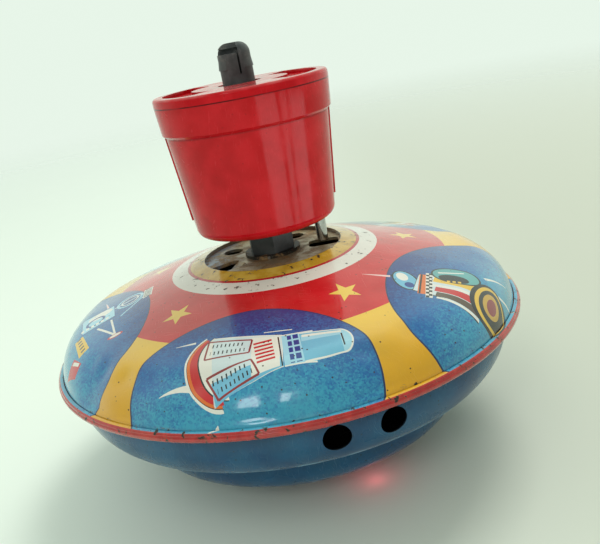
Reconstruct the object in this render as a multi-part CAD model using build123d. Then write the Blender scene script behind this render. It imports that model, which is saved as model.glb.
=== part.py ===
from build123d import *
import math
import os

# Spinning top: a hollow tin spinner and a hand launcher that stands on its hub.
# Millimetres. +Z is the spin axis and z = 0 is where the tip meets the table.

# spinner shells
RIM_RADIUS = 59.0
RIM_HEIGHT = 33.0
SHEET = 0.4
HEM_RADIUS = 1.2
HEM_WALL = 0.4
NECK_TURN = 110.0
SEAM_GAP = 0.05
WELL_RADIUS = 17.5
WELL_TOP = RIM_HEIGHT + 19.8
WELL_DEPTH = 1.0
SHOULDER_START = RIM_RADIUS - 10.5
SHOULDER_HEIGHT = RIM_HEIGHT + 11.4
WALL_TOP_RADIUS = RIM_RADIUS - 4.6
WALL_BULGE = 1.9
CREASE_RADIUS = RIM_RADIUS - 7.3
CREASE_HEIGHT = RIM_HEIGHT - 12.3
BOWL_RADIUS = RIM_RADIUS - 16.4
LEDGE_DROP = 3.6
BOWL_WALL = 2.0
BOWL_CORNER = 8.0
BOWL_SLOPE = 6.0
FLOOR_RADIUS = 9.0

# holes in the lower shell that make the top hum
HUM_HOLE = 6.0
HUM_HEIGHT = RIM_HEIGHT - 5.9
HUM_DRILL = 12.0
HUM_AZIMUTHS = (-84.7, -72.0, 95.3, 108.0)

# hub
PLATE_THICKNESS = 0.8
PLATE_LAP = 1.6
PEEP_HOLE = 5.0
PEEP_CIRCLE = 12.0
PEEP_AZIMUTHS = (58.0, 148.0)
WINDOW_LENGTH = 7.6
WINDOW_WIDTH = 6.0
WINDOW_CORNER = 1.5
TAB_REACH = 3.0
TAB_DROP = 1.6
TUBE_RADIUS = 4.2
TUBE_BORE = 2.95
BOSS_RADIUS = 8.0
BOSS_THICKNESS = 0.8
HUB_WASHER_RADIUS = 7.0
HUB_WASHER_THICKNESS = 0.8
WASHER_PLAY = 0.43

# tip
TIP_RADIUS = 8.0
TIP_FLAT = 3.0
TIP_FLANK = (0.82, 0.42)
POINT_RADIUS = 1.2
POINT_LENGTH = 7.0
POINT_ROUND = 0.9
PEG_LENGTH = 8.0
CAP_CLEARANCE = 0.6

# launcher stem
FIT = 0.06
DRIVE_FLATS = 6.0
PILOT_DEPTH = 12.0
FOOT_FLATS = 10.5
FOOT_HEIGHT = 7.6
FOOT_TURN = 4.0
SHANK_RADIUS = 3.9
SHANK_FLAT = 3.4
STEM_RISE = 9.3
PRONG_DROP = 2.4
PRONG_SPLIT = 0.9
PRONG_SLOT_WIDTH = 0.4
PRONG_SLOT_DEPTH = 6.0
PRONG_GROOVE = 1.2
NOSE_RADIUS = 2.6
BARB_DROP = 5.9
BARB_LENGTH = 2.0
BARB_REACH = 0.25

# launcher handle
HANDLE_BOTTOM = WELL_TOP + 6.7
HANDLE_FOOT_RADIUS = 17.3
HANDLE_TOP_RADIUS = 19.8
HANDLE_FILLET = 2.2
HANDLE_WALL = 1.8
HANDLE_FLOOR = 2.0
COLLAR_BOTTOM = HANDLE_BOTTOM + 25.3
COLLAR_STEP = 0.8
COLLAR_BEVEL = 0.7
COLLAR_TOP_RADIUS = 21.1
LID_BOTTOM = COLLAR_BOTTOM + 7.1
LID_THICKNESS = 2.2
LID_ROUND = 0.8
LID_SPIGOT = 2.5
LID_HOLE = 5.2
RECESS_INNER = 11.6
RECESS_OUTER = 18.6
RECESS_SPREAD = 52.0
RECESS_DEPTH = 0.9
RIB_HEIGHT = 0.45
RIB_WIDTH = 1.2
RIB_GAP = 2.0
FLOOR_HOLE = 7.0

# lock pin and its window in the hub plate
PIN_RADIUS = 1.4
PIN_CIRCLE = 13.0
PIN_AZIMUTH = -4.0
SECOND_WINDOW_AZIMUTH = -152.0
PIN_STANDOFF = 0.4
PIN_BOSS_RADIUS = 3.0
PIN_BOSS_HEIGHT = 3.4
PIN_CHAMFER = 0.3
BOSS_PITCH = 120.0

# winding spring, its arbor and the spring that lifts the handle
ARBOR_RADIUS = 6.0
ARBOR_RISE = 6.3
ARBOR_DROP = 1.9
ARBOR_FLANGE_RADIUS = 9.0
ARBOR_FLANGE = 1.0
RUNNING_GAP = 0.3
SPRING_PLATE = 0.5
SPRING_BAND = 8.0
SPRING_STRIP = 0.35
SPRING_TURNS = 7
SPRING_INNER = 6.7
CHAMBER_RADIUS = 15.4
CHAMBER_HEADROOM = 0.6
COVER_THICKNESS = 0.8
COVER_LEDGE = 1.4
ANCHOR_RADIUS = 0.8
SPRING_PLATE_BORE = 7.4
BEARING_WALL = 1.7
LIFT_WIRE = 0.7
LIFT_TURNS = 4
LIFT_PLAY = 1.0

# heights and radii that follow from the sizes above
WELL_FLOOR = WELL_TOP - WELL_DEPTH
PLATE_BOTTOM = WELL_FLOOR - PLATE_THICKNESS
PLATE_RADIUS = WELL_RADIUS + PLATE_LAP
BEAD_RADIUS = HEM_RADIUS - HEM_WALL - SEAM_GAP
BEAD_CENTRE = RIM_RADIUS - HEM_RADIUS
FOOT_BOTTOM = WELL_FLOOR + HUB_WASHER_THICKNESS
FOOT_TOP = FOOT_BOTTOM + FOOT_HEIGHT
ARBOR_START = FOOT_TOP + ARBOR_RISE
ARBOR_TOP = LID_BOTTOM - ARBOR_DROP
HUB_WASHER_BORE = DRIVE_FLATS / math.sqrt(3) + WASHER_PLAY
LIFT_RADIUS = SHANK_RADIUS + LIFT_PLAY
LEDGE_HEIGHT = CREASE_HEIGHT - LEDGE_DROP
BOWL_TURN = 90.0 - BOWL_SLOPE
CONE_RADIUS = BOWL_RADIUS - BOWL_CORNER * (1 - math.cos(math.radians(BOWL_TURN)))
CONE_HEIGHT = LEDGE_HEIGHT - BOWL_WALL - BOWL_CORNER * math.sin(math.radians(BOWL_TURN))
FLOOR_HEIGHT = CONE_HEIGHT - (CONE_RADIUS - FLOOR_RADIUS) * math.tan(math.radians(BOWL_SLOPE))
HANDLE_FLOOR_TOP = HANDLE_BOTTOM + HANDLE_FLOOR
SPRING_FLOOR = HANDLE_FLOOR_TOP + PIN_BOSS_HEIGHT
SPRING_BOTTOM = SPRING_FLOOR + SPRING_PLATE
COVER_BOTTOM = SPRING_BOTTOM + SPRING_BAND + CHAMBER_HEADROOM
COVER_TOP = COVER_BOTTOM + COVER_THICKNESS
COVER_RADIUS = CHAMBER_RADIUS + COVER_LEDGE
FLANGE_BOTTOM = COVER_TOP + RUNNING_GAP
BEARING_BOTTOM = FLANGE_BOTTOM + ARBOR_FLANGE + RUNNING_GAP
BEARING_BORE = ARBOR_RADIUS + RUNNING_GAP
LID_TOP = LID_BOTTOM + LID_THICKNESS
STEM_TOP = LID_TOP + STEM_RISE
BARB_HEIGHT = STEM_TOP - BARB_DROP
CUT = 1.0
ANCHOR_AZIMUTH = PIN_AZIMUTH + BOSS_PITCH


def polar(radius, azimuth, height=0.0):
    turn = math.radians(azimuth)
    return Vector(radius * math.cos(turn), radius * math.sin(turn), height)


def spin(section):
    return revolve(Plane.XZ * section, Axis.Z)


def ring(outer, inner, bottom, top):
    section = Pos((outer + inner) / 2, (bottom + top) / 2) * Rectangle(outer - inner, top - bottom)
    return spin(section)


def rod(radius, bottom, top):
    return Pos(0, 0, (bottom + top) / 2) * Cylinder(radius, top - bottom)


def hexagon(flats, bottom, top, turn=0.0):
    outline = Rot(0, 0, turn) * RegularPolygon(flats / 2, 6, major_radius=False, rotation=30)
    return Pos(0, 0, bottom) * extrude(outline, top - bottom)


def flatted(radius, flat, bottom, top):
    bar = Pos(0, 0, (bottom + top) / 2) * Box(2 * radius, 2 * flat, top - bottom)
    return rod(radius, bottom, top) & bar


def sheet_section(profile, side):
    return make_face(offset(profile, SHEET, side=side, closed=True).edges())


def upper_shell():
    neck = polar(HEM_RADIUS - HEM_WALL, NECK_TURN) + Vector(BEAD_CENTRE, RIM_HEIGHT)
    collar = Line((WELL_RADIUS, WELL_FLOOR), (WELL_RADIUS, WELL_TOP))
    roof = Line(collar @ 1, (SHOULDER_START, SHOULDER_HEIGHT))
    shoulder = TangentArc(roof @ 1, neck, tangent=roof % 1)
    skin = sheet_section(Wire([collar, roof, shoulder]), Side.RIGHT)
    bead = Circle(HEM_RADIUS) - Circle(HEM_RADIUS - HEM_WALL)
    mouth = Pos(-HEM_RADIUS, -HEM_RADIUS / 4) * Rectangle(2 * HEM_RADIUS, 1.5 * HEM_RADIUS)
    hem = Pos(BEAD_CENTRE, RIM_HEIGHT) * (bead - mouth)
    inside = Pos(BEAD_CENTRE, RIM_HEIGHT) * Circle(HEM_RADIUS - HEM_WALL)
    return spin(skin - inside + hem)


def lower_shell():
    seam = RIM_HEIGHT - SHEET / 2
    flange = Line((BEAD_CENTRE, seam), (WALL_TOP_RADIUS, seam))
    wall = SagittaArc(flange @ 1, (CREASE_RADIUS, CREASE_HEIGHT), WALL_BULGE)
    ledge = Line(wall @ 1, (BOWL_RADIUS, LEDGE_HEIGHT))
    step = Line(ledge @ 1, (BOWL_RADIUS, LEDGE_HEIGHT - BOWL_WALL))
    corner = TangentArc(step @ 1, (CONE_RADIUS, CONE_HEIGHT), tangent=step % 1)
    cone = Line(corner @ 1, (FLOOR_RADIUS, FLOOR_HEIGHT))
    base = Line(cone @ 1, (TUBE_BORE, FLOOR_HEIGHT))
    skin = sheet_section(Wire([flange, wall, ledge, step, corner, cone, base]), Side.RIGHT)
    bead = Pos(BEAD_CENTRE, RIM_HEIGHT) * Circle(BEAD_RADIUS)
    shell = spin(skin + bead)
    for azimuth in HUM_AZIMUTHS:
        drill = Pos(CREASE_RADIUS, 0, HUM_HEIGHT) * Rot(0, 90, 0) * Cylinder(HUM_HOLE / 2, HUM_DRILL)
        shell -= Rot(0, 0, azimuth) * drill
    return shell


def hub_plate():
    plate = rod(PLATE_RADIUS, PLATE_BOTTOM, WELL_FLOOR)
    plate -= hexagon(DRIVE_FLATS + 2 * FIT, PLATE_BOTTOM - CUT, WELL_FLOOR + CUT, FOOT_TURN)
    for azimuth in PEEP_AZIMUTHS:
        peep = rod(PEEP_HOLE / 2, PLATE_BOTTOM - CUT, WELL_FLOOR + CUT)
        plate -= Pos(*polar(PEEP_CIRCLE, azimuth)) * peep
    for azimuth in (PIN_AZIMUTH, SECOND_WINDOW_AZIMUTH):
        window = Pos(PIN_CIRCLE, 0) * RectangleRounded(WINDOW_LENGTH, WINDOW_WIDTH, WINDOW_CORNER)
        window = Pos(0, 0, PLATE_BOTTOM - CUT) * extrude(window, PLATE_THICKNESS + 2 * CUT)
        plate -= Rot(0, 0, azimuth) * window
    hinge = PIN_CIRCLE - WINDOW_LENGTH / 2
    tab = Polyline(
        (hinge, WELL_FLOOR),
        (hinge + TAB_REACH, WELL_FLOOR - TAB_DROP),
        (hinge + TAB_REACH, PLATE_BOTTOM - TAB_DROP),
        (hinge, PLATE_BOTTOM),
        close=True,
    )
    tab = extrude(Plane.XZ * make_face(tab), (WINDOW_WIDTH - 2 * WINDOW_CORNER) / 2, both=True)
    return plate + Rot(0, 0, SECOND_WINDOW_AZIMUTH) * tab


def hub_tube():
    return ring(TUBE_RADIUS, TUBE_BORE, FLOOR_HEIGHT + SHEET, PLATE_BOTTOM)


def hub_boss():
    return ring(BOSS_RADIUS, TUBE_RADIUS, PLATE_BOTTOM - BOSS_THICKNESS, PLATE_BOTTOM)


def floor_washer():
    seat = FLOOR_HEIGHT + SHEET
    return ring(BOSS_RADIUS, TUBE_RADIUS, seat, seat + BOSS_THICKNESS)


def hub_washer():
    return ring(HUB_WASHER_RADIUS, HUB_WASHER_BORE, WELL_FLOOR, FOOT_BOTTOM)


def tip_cap():
    crown = Line((TIP_RADIUS, FLOOR_HEIGHT), (0, FLOOR_HEIGHT))
    core = Line(crown @ 1, (0, CAP_CLEARANCE))
    nose = Line(core @ 1, (TIP_FLAT, CAP_CLEARANCE))
    flank = ThreePointArc(nose @ 1, (TIP_FLANK[0] * TIP_RADIUS, TIP_FLANK[1] * FLOOR_HEIGHT), crown @ 0)
    cap = spin(make_face([crown, core, nose, flank]))
    cap += rod(TUBE_BORE, FLOOR_HEIGHT, FLOOR_HEIGHT + PEG_LENGTH)
    return cap - rod(POINT_RADIUS, 0, POINT_LENGTH)


def tip_point():
    point = rod(POINT_RADIUS, 0, POINT_LENGTH)
    return fillet(point.edges().sort_by(Axis.Z)[0], POINT_ROUND * POINT_RADIUS)


def stem():
    body = rod(TUBE_BORE - FIT, PLATE_BOTTOM - PILOT_DEPTH, PLATE_BOTTOM)
    body += hexagon(DRIVE_FLATS, PLATE_BOTTOM, FOOT_BOTTOM, FOOT_TURN)
    body += hexagon(FOOT_FLATS, FOOT_BOTTOM, FOOT_TOP, FOOT_TURN)
    shank = flatted(SHANK_RADIUS, SHANK_FLAT, FOOT_TOP, STEM_TOP)
    shank = fillet(shank.edges().group_by(Axis.Z)[-1], NOSE_RADIUS)
    barb = Cone(SHANK_RADIUS + BARB_REACH, SHANK_RADIUS, BARB_LENGTH)
    barb &= Box(4 * SHANK_RADIUS, 2 * SHANK_FLAT, BARB_LENGTH)
    shank += Pos(0, 0, BARB_HEIGHT + BARB_LENGTH / 2) * barb
    shelf = STEM_TOP - PRONG_DROP
    reach = 2 * SHANK_RADIUS
    lip = PRONG_DROP / 2
    depth = PRONG_GROOVE - reach / 2
    gap = Pos(PRONG_SPLIT - reach / 2, depth, shelf + lip / 2) * Box(reach, reach, lip)
    front = Pos(PRONG_SPLIT - reach / 2, -reach / 2, shelf + PRONG_DROP) * Box(reach, reach, 2 * PRONG_DROP)
    slot = Pos(PRONG_SPLIT, depth, shelf + lip - PRONG_SLOT_DEPTH / 2)
    slot = slot * Box(PRONG_SLOT_WIDTH, reach, PRONG_SLOT_DEPTH)
    return body + (shank - gap - front - slot)


def lift_spring():
    height = ARBOR_START - FOOT_TOP - LIFT_WIRE
    helix = Helix(height / LIFT_TURNS, height, LIFT_RADIUS)
    wire = Plane(helix @ 0, z_dir=helix % 0) * Circle(LIFT_WIRE / 2)
    return Pos(0, 0, FOOT_TOP + LIFT_WIRE / 2) * sweep(wire, path=helix, is_frenet=True)


def arbor():
    sleeve = rod(ARBOR_RADIUS, ARBOR_START, ARBOR_TOP)
    sleeve += rod(ARBOR_FLANGE_RADIUS, FLANGE_BOTTOM, FLANGE_BOTTOM + ARBOR_FLANGE)
    return sleeve - flatted(SHANK_RADIUS + FIT, SHANK_FLAT + FIT, ARBOR_START - CUT, ARBOR_TOP + CUT)


def grip_rib(azimuth):
    low = HANDLE_BOTTOM + HANDLE_FILLET + RIB_GAP
    slope = (HANDLE_TOP_RADIUS - HANDLE_FOOT_RADIUS) / (COLLAR_BOTTOM - HANDLE_BOTTOM)
    low_radius = HANDLE_FOOT_RADIUS + slope * (low - HANDLE_BOTTOM)
    outline = Polyline(
        (low_radius - HANDLE_WALL / 2, low),
        (low_radius + RIB_HEIGHT, low),
        (HANDLE_TOP_RADIUS + RIB_HEIGHT, COLLAR_BOTTOM + COLLAR_BEVEL),
        (HANDLE_TOP_RADIUS - HANDLE_WALL / 2, COLLAR_BOTTOM + COLLAR_BEVEL),
        close=True,
    )
    rib = extrude(Plane.XZ * make_face(outline), RIB_WIDTH / 2, both=True)
    return Rot(0, 0, azimuth) * rib


def handle_body():
    foot = FilletPolyline(
        (0, HANDLE_BOTTOM),
        (HANDLE_FOOT_RADIUS, HANDLE_BOTTOM),
        (HANDLE_TOP_RADIUS, COLLAR_BOTTOM),
        radius=HANDLE_FILLET,
    )
    rest = Polyline(
        (HANDLE_TOP_RADIUS, COLLAR_BOTTOM),
        (HANDLE_TOP_RADIUS + COLLAR_STEP, COLLAR_BOTTOM + COLLAR_BEVEL),
        (COLLAR_TOP_RADIUS, LID_BOTTOM),
        (0, LID_BOTTOM),
        (0, HANDLE_BOTTOM),
    )
    body = spin(make_face(foot.edges() + rest.edges()))
    body -= rod(CHAMBER_RADIUS, HANDLE_FLOOR_TOP, LID_BOTTOM)
    body -= rod(COVER_RADIUS, COVER_BOTTOM, LID_BOTTOM)
    bosses = rod(CHAMBER_RADIUS, HANDLE_FLOOR_TOP, SPRING_FLOOR)
    for turn in range(3):
        place = Pos(*polar(PIN_CIRCLE, PIN_AZIMUTH + turn * BOSS_PITCH))
        body += (place * rod(PIN_BOSS_RADIUS, HANDLE_FLOOR_TOP, SPRING_FLOOR)) & bosses
    body -= rod(FLOOR_HOLE, HANDLE_BOTTOM - CUT, HANDLE_FLOOR_TOP + CUT)
    pin_hole = rod(PIN_RADIUS, HANDLE_BOTTOM - CUT, SPRING_FLOOR)
    anchor_hole = rod(ANCHOR_RADIUS, HANDLE_FLOOR_TOP, SPRING_FLOOR)
    body -= Pos(*polar(PIN_CIRCLE, PIN_AZIMUTH)) * pin_hole
    body -= Pos(*polar(PIN_CIRCLE, ANCHOR_AZIMUTH)) * anchor_hole
    return body + grip_rib(0) + grip_rib(180)


def handle_lid():
    lid = rod(COLLAR_TOP_RADIUS, LID_BOTTOM, LID_TOP)
    lid = fillet(lid.edges().group_by(Axis.Z)[-1], LID_ROUND)
    lid += ring(COVER_RADIUS, COVER_RADIUS - HANDLE_WALL, LID_BOTTOM - LID_SPIGOT, LID_BOTTOM)
    lid += ring(BEARING_BORE + BEARING_WALL, BEARING_BORE, BEARING_BOTTOM, LID_BOTTOM)
    lid -= rod(LID_HOLE, LID_BOTTOM - CUT, LID_TOP + CUT)
    sector = ring(RECESS_OUTER, RECESS_INNER, LID_TOP - RECESS_DEPTH, LID_TOP + CUT)
    side = RECESS_OUTER / math.cos(math.radians(RECESS_SPREAD))
    wedge = make_face(Polyline((0, 0), polar(side, -RECESS_SPREAD), polar(side, RECESS_SPREAD), close=True))
    wedge = Pos(0, 0, LID_TOP - RECESS_DEPTH - CUT) * extrude(wedge, RECESS_DEPTH + 3 * CUT)
    for azimuth in (0, 180):
        lid -= sector & (Rot(0, 0, azimuth) * wedge)
    return lid


def lock_pin():
    bottom = WELL_FLOOR + PIN_STANDOFF
    pin = rod(PIN_RADIUS, bottom, SPRING_FLOOR)
    pin = chamfer(pin.edges().sort_by(Axis.Z)[0], PIN_CHAMFER)
    return Pos(*polar(PIN_CIRCLE, PIN_AZIMUTH)) * pin


def spring_anchor():
    post = rod(ANCHOR_RADIUS, HANDLE_FLOOR_TOP, COVER_BOTTOM)
    return Pos(*polar(PIN_CIRCLE, ANCHOR_AZIMUTH)) * post


def spring_plate():
    plate = ring(CHAMBER_RADIUS, SPRING_PLATE_BORE, SPRING_FLOOR, SPRING_BOTTOM)
    hole = rod(ANCHOR_RADIUS, SPRING_FLOOR - CUT, SPRING_BOTTOM + CUT)
    return plate - Pos(*polar(PIN_CIRCLE, ANCHOR_AZIMUTH)) * hole


def spring_cover():
    return ring(COVER_RADIUS, BEARING_BORE, COVER_BOTTOM, COVER_TOP)


def spiral(inner, outer):
    steps = SPRING_TURNS * 8
    start = ANCHOR_AZIMUTH - 360.0 * SPRING_TURNS
    points = []
    for step in range(steps + 1):
        share = step / steps
        points.append(polar(inner + (outer - inner) * share, start + 360.0 * SPRING_TURNS * share))
    return Spline(*points)


def mainspring():
    outer = PIN_CIRCLE - ANCHOR_RADIUS
    inside = spiral(SPRING_INNER, outer - SPRING_STRIP)
    outside = spiral(SPRING_INNER + SPRING_STRIP, outer)
    strip = make_face([inside, Line(inside @ 1, outside @ 1), outside, Line(outside @ 0, inside @ 0)])
    return Pos(0, 0, SPRING_BOTTOM) * extrude(strip, SPRING_BAND)


SUB_PARTS = (
    upper_shell,
    lower_shell,
    hub_plate,
    hub_tube,
    hub_boss,
    floor_washer,
    hub_washer,
    tip_cap,
    tip_point,
    stem,
    lift_spring,
    arbor,
    handle_body,
    handle_lid,
    lock_pin,
    spring_anchor,
    spring_plate,
    spring_cover,
    mainspring,
)

os.makedirs("parts", exist_ok=True)
for sub_part in SUB_PARTS:
    export_step(sub_part(), f"parts/{sub_part.__name__}.step")
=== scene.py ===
import math
import random
import bmesh
import bpy
from mathutils import Euler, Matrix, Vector


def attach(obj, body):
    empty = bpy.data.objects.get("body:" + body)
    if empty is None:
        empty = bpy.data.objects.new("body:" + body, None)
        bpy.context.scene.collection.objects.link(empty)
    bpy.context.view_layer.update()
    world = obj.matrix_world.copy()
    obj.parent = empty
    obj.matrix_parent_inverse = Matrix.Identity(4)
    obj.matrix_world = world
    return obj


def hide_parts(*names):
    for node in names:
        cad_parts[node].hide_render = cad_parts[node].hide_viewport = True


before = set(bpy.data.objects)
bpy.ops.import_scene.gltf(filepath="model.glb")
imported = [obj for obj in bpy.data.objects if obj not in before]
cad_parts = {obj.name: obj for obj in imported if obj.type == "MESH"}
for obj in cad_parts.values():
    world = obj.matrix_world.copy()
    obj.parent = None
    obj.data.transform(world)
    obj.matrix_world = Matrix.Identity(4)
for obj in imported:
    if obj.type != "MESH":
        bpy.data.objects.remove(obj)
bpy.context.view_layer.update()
scene = bpy.context.scene
scene.view_settings.view_transform = "Standard"
mm = 0.001

camera = {
    "place": (0.0, -187.568, 104.266), "turn": (72.12, 10.374, -5.059),  # mm and degrees
    "lens": 45.9, "film": 36.0, "nearest": 0.01,
}


def addCamera():
    data = bpy.data.cameras.new("camera")
    data.lens = camera["lens"]
    data.sensor_width = camera["film"]
    data.clip_start = camera["nearest"]
    eye = bpy.data.objects.new("camera", data)
    eye.location = Vector(camera["place"]) * mm
    eye.rotation_euler = Euler([math.radians(a) for a in camera["turn"]])
    scene.collection.objects.link(eye)
    scene.camera = eye


addCamera()
print("camera placed")


def ink(code):  # a six-figure colour as the shader's linear one
    channels = [int(code[i:i + 2], 16) / 255 for i in (0, 2, 4)]
    linear = [c / 12.92 if c <= 0.04045 else ((c + 0.055) / 1.055) ** 2.4 for c in channels]
    return (*linear, 1.0)


def addNode(tree, kind, settings=None, inputs=None):
    made = tree.nodes.new("ShaderNode" + kind)
    for key, value in (settings or {}).items():
        setattr(made, key, value)
    for key, value in (inputs or {}).items():
        feed(tree, made.inputs[key], value)
    return made


def feed(tree, socket, value):
    if isinstance(value, bpy.types.NodeSocket):
        tree.links.new(value, socket)
    else:
        socket.default_value = value


def maths(tree, operation, first, second=0.0, third=0.0, clamp=False):
    made = addNode(tree, "Math", {"operation": operation, "use_clamp": clamp})
    for socket, value in zip(made.inputs, (first, second, third)):
        feed(tree, socket, value)
    return made.outputs[0]


def vectorMaths(tree, operation, first, second=None):
    made = addNode(tree, "VectorMath", {"operation": operation})
    feed(tree, made.inputs[0], first)
    if second is not None:
        feed(tree, made.inputs["Scale"] if operation == "SCALE" else made.inputs[1], second)
    return made.outputs["Value"] if operation in ("LENGTH", "DOT_PRODUCT") else made.outputs[0]


def mixInk(tree, mask, under, over, blend="MIX"):
    made = addNode(tree, "Mix", {"data_type": "RGBA", "blend_type": blend})
    feed(tree, made.inputs[0], mask)
    feed(tree, made.inputs[6], under)
    feed(tree, made.inputs[7], over)
    return made.outputs[2]


def ramp(tree, value, low, high, toLow=0.0, toHigh=1.0, smooth=True):
    made = addNode(tree, "MapRange", {"interpolation_type": "SMOOTHSTEP" if smooth else "LINEAR"})
    feed(tree, made.inputs["Value"], value)
    feed(tree, made.inputs["From Min"], low)
    feed(tree, made.inputs["From Max"], high)
    feed(tree, made.inputs["To Min"], toLow)
    feed(tree, made.inputs["To Max"], toHigh)
    return made.outputs["Result"]


def noise(tree, point, size, detail=3.0, rough=0.5, warp=0.0):
    made = addNode(tree, "TexNoise", inputs={
        "Vector": point, "Scale": 1 / size, "Detail": detail, "Roughness": rough, "Distortion": warp})
    return made.outputs["Fac"]


def split(tree, vector):
    made = addNode(tree, "SeparateXYZ", inputs={"Vector": vector})
    return made.outputs["X"], made.outputs["Y"], made.outputs["Z"]


def localPoint(tree, point, middle, turn, size):
    made = addNode(tree, "Mapping", {"vector_type": "TEXTURE"}, {
        "Vector": point, "Location": (*middle, 0), "Rotation": (0, 0, math.radians(turn)),
        "Scale": (*size, 1)})
    return made.outputs["Vector"]


def newGroup(name, inputs, outputs):
    group = bpy.data.node_groups.new(name, "ShaderNodeTree")
    for label, kind in inputs:
        group.interface.new_socket(label, in_out="INPUT", socket_type="NodeSocket" + kind)
    for label, kind in outputs:
        group.interface.new_socket(label, in_out="OUTPUT", socket_type="NodeSocket" + kind)
    start = group.nodes.new("NodeGroupInput")
    end = group.nodes.new("NodeGroupOutput")
    return group, start.outputs, end.inputs


def useGroup(tree, group, inputs):
    made = tree.nodes.new("ShaderNodeGroup")
    made.node_tree = group
    for key, value in inputs.items():
        feed(tree, made.inputs[key], value)
    return made.outputs


def newMaterial(name, shader):
    material = bpy.data.materials.new(name)
    material.use_nodes = True
    tree = material.node_tree
    surface = tree.nodes["Principled BSDF"]
    for key, value in shader.items():
        surface.inputs[key].default_value = value
    place = addNode(tree, "TexCoord").outputs["Object"]
    return material, tree, surface, vectorMaths(tree, "SCALE", place, 1 / mm)  # patterns are in mm


def bumpFrom(tree, height, distance):
    made = addNode(tree, "Bump", inputs={"Height": height, "Distance": distance * mm, "Strength": 1.0})
    return made.outputs["Normal"]


# shared effects; each takes a point in millimetres

chipLook = {"rough": 0.62, "warp": 0.4, "limit": 0.8, "spread": 0.3, "soft": 0.012, "rim": 0.035}
scratchLook = {"layers": ((0.0, 0.0), (1.1, 7.3)), "width": 0.16, "depth": 3.0, "edge": (0.66, 0.72)}
grimeLook = {"rough": 0.6, "cloud": (0.35, 0.7), "dots": 1.1, "rare": 0.93, "dotEdge": (0.28, 0.12)}
mouldLook = {"waveSize": 9.0, "grainSize": 0.5, "grainHeight": 0.06, "toneSize": 5.0}
rustLook = {
    "broadSize": 5.0, "broadShare": 0.75, "fineSize": 0.9, "fineShare": 0.35, "limit": 0.78, "spread": 0.42,
    "soft": 0.07, "dark": "6d5033", "light": "a1845c",
}


def makeChips():
    group, start, end = newGroup("chips", [("Point", "Vector"), ("Size", "Float"), ("Cover", "Float")],
                                 [("Mask", "Float"), ("Edge", "Float")])
    scale = maths(group, "DIVIDE", 1.0, start["Size"])
    blob = addNode(group, "TexNoise", inputs={
        "Vector": start["Point"], "Scale": scale, "Detail": 4.0,
        "Roughness": chipLook["rough"], "Distortion": chipLook["warp"]}).outputs["Fac"]
    spread = maths(group, "MULTIPLY", start["Cover"], chipLook["spread"])
    limit = maths(group, "SUBTRACT", chipLook["limit"], spread)
    group.links.new(ramp(group, blob, limit, maths(group, "ADD", limit, chipLook["soft"])), end["Mask"])
    group.links.new(ramp(group, blob, maths(group, "SUBTRACT", limit, chipLook["rim"]), limit), end["Edge"])
    return group


def makeScratches():
    group, start, end = newGroup("scratches", [("Point", "Vector"), ("Length", "Float"), ("Turn", "Float")],
                                 [("Mask", "Float")])
    masks = []
    for turn, seed in scratchLook["layers"]:
        angle = maths(group, "ADD", start["Turn"], turn)
        rolled = addNode(group, "VectorRotate", {"rotation_type": "Z_AXIS"},
                         {"Vector": start["Point"], "Angle": angle}).outputs[0]
        stretch = addNode(group, "CombineXYZ", inputs={
            "X": start["Length"], "Y": scratchLook["width"], "Z": scratchLook["depth"]}).outputs[0]
        spread = vectorMaths(group, "DIVIDE", rolled, stretch)
        shifted = vectorMaths(group, "ADD", spread, (seed, seed, seed))
        line = noise(group, shifted, size=1.0, detail=2.0, warp=0.3)
        masks.append(ramp(group, line, *scratchLook["edge"]))
    group.links.new(maths(group, "MAXIMUM", masks[0], masks[1]), end["Mask"])
    return group


def makeGrime():
    group, start, end = newGroup("grime", [("Point", "Vector"), ("Size", "Float")],
                                 [("Cloud", "Float"), ("Speck", "Float")])
    scale = maths(group, "DIVIDE", 1.0, start["Size"])
    cloud = addNode(group, "TexNoise", inputs={
        "Vector": start["Point"], "Scale": scale, "Detail": 5.0,
        "Roughness": grimeLook["rough"]}).outputs["Fac"]
    dot = addNode(group, "TexVoronoi", inputs={"Vector": start["Point"], "Scale": grimeLook["dots"]}).outputs
    rare = maths(group, "GREATER_THAN", split(group, dot["Color"])[0], grimeLook["rare"])
    speck = maths(group, "MULTIPLY", ramp(group, dot["Distance"], *grimeLook["dotEdge"]), rare)
    group.links.new(ramp(group, cloud, *grimeLook["cloud"]), end["Cloud"])
    group.links.new(speck, end["Speck"])
    return group


def makeMoulded():
    group, start, end = newGroup("mouldedSkin", [("Point", "Vector"), ("Ripple", "Float")],
                                 [("Height", "Float"), ("Tone", "Float")])
    wave = noise(group, start["Point"], mouldLook["waveSize"], detail=2.0)
    grain = noise(group, start["Point"], mouldLook["grainSize"], detail=2.0)
    ripple = maths(group, "MULTIPLY", wave, start["Ripple"])
    height = maths(group, "MULTIPLY_ADD", grain, mouldLook["grainHeight"], ripple)
    group.links.new(height, end["Height"])
    tone = noise(group, start["Point"], mouldLook["toneSize"], detail=4.0)
    group.links.new(ramp(group, tone, 0.3, 0.7), end["Tone"])
    return group


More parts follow.
